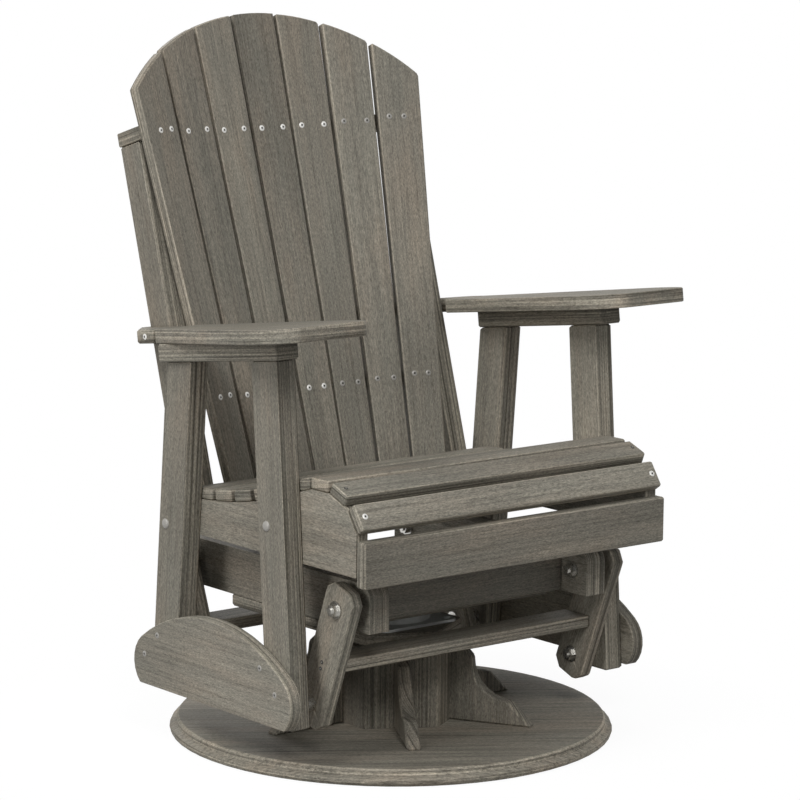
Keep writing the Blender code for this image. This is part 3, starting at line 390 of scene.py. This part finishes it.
# Grain direction and thickness direction of single boards
SINGLE_BOARDS = {
    "base_disc": (DISC_GRAIN, UP), "pedestal": (UP, ACROSS), "pedestal_top": (ACROSS, UP),
    "platform_board": (ACROSS, UP), "front_cross_board": (ACROSS, DEEP), "front_tie_board": (ACROSS, UP),
    "rear_tie_board": (ACROSS, UP), "seat_nose_slat": (ACROSS, OVER_NOSE_SLAT),
    "seat_front_slat": (ACROSS, OVER_FRONT_SLAT), "front_apron": (ACROSS, DEEP),
    "seat_rear_rail": (ACROSS, DEEP), "upper_back_board": (ACROSS, UP_BACK),
    "lower_back_board": (ACROSS, UP_BACK), "arm_cross_board": (ACROSS, OVER_ARM)}

# The same for boards that stand on both sides
PAIRED_BOARDS = {
    "rail": (DEEP, ACROSS), "front_leg": (ALONG_FRONT_LEG, ACROSS), "rear_leg": (ALONG_REAR_LEG, ACROSS),
    "foot_board": (DEEP, ACROSS), "seat_side": (DEEP, ACROSS), "upright": (UP_BACK, ACROSS),
    "arm": (ALONG_ARM, OVER_ARM), "arm_support": (ALONG_ARM, OVER_ARM),
    "front_link": (ALONG_FRONT_LINK, ACROSS), "rear_link": (ALONG_REAR_LINK, ACROSS)}


def grain_turn(along, through):
    """The Mapping rotation that lays the grain along X and the board's thickness along Z."""
    x = Vector(along).normalized()
    z = Vector(through)
    z = (z - x * z.dot(x)).normalized()
    return Matrix((x, z.cross(x), z)).to_euler()


def back_frame():
    """The leaning frame of the back."""
    return Matrix.Translation(BACK_ORIGIN) @ Matrix.Rotation(-BACK_RECLINE, 4, "X")


def fan_place(k):
    """Matrix of the back slat that is k from the middle: X across it, Y through it, Z along it."""
    low = Vector((k * FAN_LOW, -BACK_HOLLOW * (k * FAN_LOW) ** 2, 0))
    high = Vector((k * FAN_HIGH, -BACK_HOLLOW * (k * FAN_HIGH) ** 2, BACK_ROW))
    length = (high - low).normalized()
    slope = 2 * BACK_HOLLOW * (low.x + high.x) / 2
    across = Vector((1, -slope, 0))
    across = (across - length * across.dot(length)).normalized()
    place = Matrix((across, length.cross(across), length)).transposed().to_4x4()
    return back_frame() @ Matrix.Translation(low) @ place


def directions():
    """Grain direction and thickness direction of every lumber node."""
    found = dict(SINGLE_BOARDS)
    for slat in SLATS:
        found["seat_slat_%d" % slat] = (ACROSS, OVER_SEAT)
        place = fan_place(slat - MIDDLE_SLAT)
        found["back_slat_%d" % slat] = (place.col[2].xyz, place.col[1].xyz)
    for side, _ in SIDES:
        for board, ways in PAIRED_BOARDS.items():
            found["%s_%s" % (side, board)] = ways
    return found


def soften(obj):
    """Shades the eased edges as round ones, with the wide faces kept flat."""
    weld = obj.modifiers.new("weld", "WELD")
    weld.merge_threshold = WELD_DISTANCE
    obj.data.shade_smooth()
    weighted = obj.modifiers.new("round_edges", "WEIGHTED_NORMAL")
    weighted.weight = FACE_WEIGHT
    weighted.keep_sharp = False


def dress(node, material):
    """Gives a CAD node its looks."""
    obj = NODES[node]
    obj.data.materials.clear()
    obj.data.materials.append(material)


def dress_all():
    """Every lumber node gets its own stretch of grain, and every metal one its finish."""
    for number, (node, (along, through)) in enumerate(sorted(directions().items())):
        offset = tuple(step * number for step in GRAIN_STEP)
        # Board tone, partly painted light and shade, times a small swing from board to board
        tone = BOARD_TONE_AND_PAINTED_LIGHT.get(node, 1) * (1 + TONE_SWING * sin(TONE_STEP * number))
        streaks = DISC_STREAKS if node == "base_disc" else BOARD_STREAKS
        dress(node, lumber(node, grain_turn(along, through), offset, tone, streaks))
        if node not in ("pedestal", "base_disc"):
            soften(NODES[node])
    for node in NODES:
        if node.endswith("_bolt"):
            dress(node, STAINLESS)
    dress("swivel_ball_cage", STAINLESS)
    dress("swivel_lower_plate", ZINC)
    dress("swivel_upper_plate", ZINC)


dress_all()


# Screws and carriage bolts


def lathe_mesh(name, profile, steps, materials, inner_from=None):
    """A turned head. From the ring inner_from inwards, its faces get the second material."""
    shape = bmesh.new()
    turns = [2 * pi * i / steps for i in range(steps)]
    rings = []
    for radius, height in profile[:-1]:
        rings.append([shape.verts.new((radius * cos(turn), radius * sin(turn), height)) for turn in turns])
    centre = shape.verts.new((0, 0, profile[-1][1]))
    for n, (low, high) in enumerate(zip(rings, rings[1:])):
        for i in range(steps):
            face = shape.faces.new((low[i], low[(i + 1) % steps], high[(i + 1) % steps], high[i]))
            face.material_index = int(inner_from is not None and n >= inner_from)
            face.smooth = True
    for i in range(steps):
        face = shape.faces.new((rings[-1][i], rings[-1][(i + 1) % steps], centre))
        face.material_index = int(inner_from is not None)
        face.smooth = True
    mesh = bpy.data.meshes.new(name)
    shape.to_mesh(mesh)
    shape.free()
    for material in materials:
        mesh.materials.append(material)
    mesh.set_sharp_from_angle(angle=SHARP_ANGLE)
    return mesh


SUNK_PROFILE = [(SUNK_SHARE * radius, height) for radius, height in SCREW_PROFILE]
SCREW_MESH = lathe_mesh("screw_head", SCREW_PROFILE, SCREW_SIDES, (SCREW, RECESS_SHADE_AND_DARK_RIM), RECESS_FROM)
DARK_SCREW_MESH = lathe_mesh("sunk_screw", SUNK_PROFILE, SUNK_SIDES, (RECESS_SHADE_AND_DARK_RIM, PAINTED), RECESS_FROM)
PAINTED_SCREW_MESH = lathe_mesh("painted_screw", SCREW_PROFILE, SCREW_SIDES, (PAINTED, RECESS_SHADE_AND_DARK_RIM), RECESS_FROM)
CARRIAGE_MESH = lathe_mesh("carriage_head", CARRIAGE_PROFILE, CARRIAGE_SIDES, (PAINTED,))


def fasten(name, mesh, point, outwards, body):
    """One fastener's head on a face, with its outward direction."""
    obj = bpy.data.objects.new(name, mesh)
    bpy.context.scene.collection.objects.link(obj)
    turn = Vector(outwards).to_track_quat("Z", "Y")
    obj.matrix_world = Matrix.Translation(Vector(point)) @ turn.to_matrix().to_4x4()
    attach(obj, body)


def back_screws():
    """Two rows of screws across the fan."""
    for slat in SLATS:
        k = slat - MIDDLE_SLAT
        place = fan_place(k)
        outwards = -place.col[1].xyz
        rise = Vector(((FAN_HIGH - FAN_LOW) * k, 0, BACK_ROW)).length
        for row, height in (("lower", 0), ("upper", rise)):
            half, inner, outer = BACK_SCREWS[row]
            spots = (-half, half)
            if slat == SLATS[0]:
                spots = (-outer, inner)
            if slat == SLATS[-1]:
                spots = (-inner, outer)
            mesh = PAINTED_SCREW_MESH if k >= DULL_HEADS_FROM[row] else SCREW_MESH
            for n, x in enumerate(spots, 1):
                name = "back_screw_%s_%d_%d" % (row, slat, n)
                fasten(name, mesh, place @ Vector((x, 0, height)), outwards, "chair")


def seat_screws():
    """A screw at both ends of the front slat and, darker, of the nose slat."""
    for side, way in SIDES:
        for name, mesh in (("seat_front_slat", SCREW_MESH), ("seat_nose_slat", DARK_SCREW_MESH)):
            points = [v.co for v in NODES[name].data.vertices]
            middle = (Vector(map(min, *points)) + Vector(map(max, *points))) / 2
            normal = Vector(SINGLE_BOARDS[name][1]).normalized()
            spot = middle + normal * max((p - middle).dot(normal) for p in points)
            point = (way * SEAT_SCREW_REACH, spot.y, spot.z)
            fasten("%s_screw_%s" % (name, side), mesh, point, normal, "chair")


def side_heads():
    """Screws in foot boards, links and the arm cross board, and carriage bolts in the legs."""
    for side, way in SIDES:
        out = (way, 0, 0)
        for n, (y, z) in enumerate(FOOT_SCREWS, 1):
            point = (way * SKIRT_OUTER, y, z)
            fasten("%s_foot_screw_%d" % (side, n), PAINTED_SCREW_MESH, point, out, "chair")
        for end, y, z in CARRIAGE_BOLTS:
            point = (way * LEG_OUTER, y, z)
            fasten("%s_%s_carriage_bolt" % (side, end), CARRIAGE_MESH, point, out, "chair")
        for n, (y, z) in enumerate(TIE_SCREWS, 1):
            for end, sign in ENDS:
                name = "%s_%s_tie_screw_%d" % (side, end, n)
                point = (way * LINK_OUTER, sign * y, z)
                fasten(name, DARK_SCREW_MESH, point, out, end + "_links")
        x, y, z = CROSS_BOARD_END
        fasten("%s_arm_board_screw" % side, SCREW_MESH, (way * x, y, z), out, "chair")


back_screws()
seat_screws()
side_heads()


# Studio


def link_node(links, node, *values):
    """Links values to a node's first inputs and gives its first output."""
    for value, entry in zip(values, node.inputs):
        links.new(value, entry)
    return node.outputs[0]


def seen_rays(nodes, links):
    """1 for camera, glossy and transmission rays, 0 for rays that carry light."""
    path = nodes.new("ShaderNodeLightPath")
    both = math_node(nodes, "MAXIMUM")
    either = math_node(nodes, "MAXIMUM")
    first = link_node(links, both, path.outputs["Is Camera Ray"], path.outputs["Is Glossy Ray"])
    return link_node(links, either, first, path.outputs["Is Transmission Ray"])


def make_floor():
    """Plain white ground that keeps a faint shadow round the base and fades into the backdrop."""
    shape = bmesh.new()
    bmesh.ops.create_grid(shape, x_segments=1, y_segments=1, size=FLOOR_HALF)
    mesh = bpy.data.meshes.new("floor")
    shape.to_mesh(mesh)
    shape.free()
    floor = bpy.data.objects.new("floor", mesh)
    bpy.context.scene.collection.objects.link(floor)
    material, nodes, links, shader = new_material("floor")
    shader.inputs["Base Color"].default_value = (FLOOR_TONE, FLOOR_TONE, FLOOR_TONE, 1)
    shader.inputs["Roughness"].default_value = FLOOR_ROUGHNESS
    place = nodes.new("ShaderNodeTexCoord")
    reach = nodes.new("ShaderNodeVectorMath")
    reach.operation = "LENGTH"
    links.new(place.outputs["Object"], reach.inputs[0])
    fade = range_node(nodes, SHADOW_FADE, (SHADOW_SHARE, 0))
    links.new(reach.outputs["Value"], fade.inputs["Value"])
    pale = math_node(nodes, "MULTIPLY_ADD")
    pale.inputs[1].default_value = -OPEN_FLOOR
    pale.inputs[2].default_value = 1
    links.new(fade.outputs["Result"], pale.inputs[0])
    glow = nodes.new("ShaderNodeEmission")
    glow.inputs["Color"].default_value = (1, 1, 1, 1)
    links.new(pale.outputs["Value"], glow.inputs["Strength"])
    ground = nodes.new("ShaderNodeBsdfDiffuse")
    links.new(fade.outputs["Result"], ground.inputs["Color"])
    white = nodes.new("ShaderNodeAddShader")
    link_node(links, white, glow.outputs["Emission"], ground.outputs["BSDF"])
    blend = nodes.new("ShaderNodeMixShader")
    seen = seen_rays(nodes, links)
    surface = link_node(links, blend, seen, shader.outputs["BSDF"], white.outputs["Shader"])
    links.new(surface, nodes["Material Output"].inputs["Surface"])
    mesh.materials.append(material)


def make_world():
    """White surroundings: seen as white, and a soft even light."""
    world = bpy.data.worlds.new("studio")
    world.use_nodes = True
    bpy.context.scene.world = world
    nodes, links = world.node_tree.nodes, world.node_tree.links
    light = nodes["Background"]
    light.inputs["Color"].default_value = (1, 1, 1, 1)
    light.inputs["Strength"].default_value = AMBIENT
    backdrop = nodes.new("ShaderNodeBackground")
    backdrop.inputs["Color"].default_value = (1, 1, 1, 1)
    backdrop.inputs["Strength"].default_value = 1
    blend = nodes.new("ShaderNodeMixShader")
    seen = seen_rays(nodes, links)
    surface = link_node(links, blend, seen, light.outputs["Background"], backdrop.outputs["Background"])
    links.new(surface, nodes["World Output"].inputs["Surface"])


def make_lamp(name, place, size, power):
    """Soft rectangular lamp."""
    data = bpy.data.lights.new(name, "AREA")
    data.shape = "RECTANGLE"
    data.size, data.size_y = size
    data.energy = power
    lamp = bpy.data.objects.new(name, data)
    bpy.context.scene.collection.objects.link(lamp)
    lamp.location = place
    lamp.rotation_euler = (Vector(LAMP_AIM) - Vector(place)).to_track_quat("-Z", "Y").to_euler()


def make_camera():
    """The photograph's camera."""
    data = bpy.data.cameras.new("camera")
    data.lens = CAMERA_LENS
    data.sensor_width = CAMERA_SENSOR
    data.shift_x, data.shift_y = CAMERA_SHIFT
    data.clip_start, data.clip_end = CAMERA_CLIP
    camera = bpy.data.objects.new("camera", data)
    bpy.context.scene.collection.objects.link(camera)
    azimuth = radians(CAMERA_AZIMUTH)
    elevation = radians(CAMERA_ELEVATION)
    back = Vector((sin(azimuth) * cos(elevation), -cos(azimuth) * cos(elevation), sin(elevation)))
    ahead = -back
    right = ahead.cross(Vector(UP)).normalized()
    up = right.cross(ahead)
    roll = radians(CAMERA_ROLL)
    level = right * cos(roll) + up * sin(roll)
    above = up * cos(roll) - right * sin(roll)
    turn = Matrix((level, above, back)).transposed()
    camera.matrix_world = Matrix.Translation(Vector(CAMERA_TARGET) + back * CAMERA_DISTANCE) @ turn.to_4x4()
    bpy.context.scene.camera = camera


make_floor()
make_world()
for lamp_name, (lamp_place, lamp_size, lamp_power) in LAMPS.items():
    make_lamp(lamp_name, lamp_place, lamp_size, lamp_power)
make_camera()
bpy.context.scene.view_settings.view_transform = "Standard"
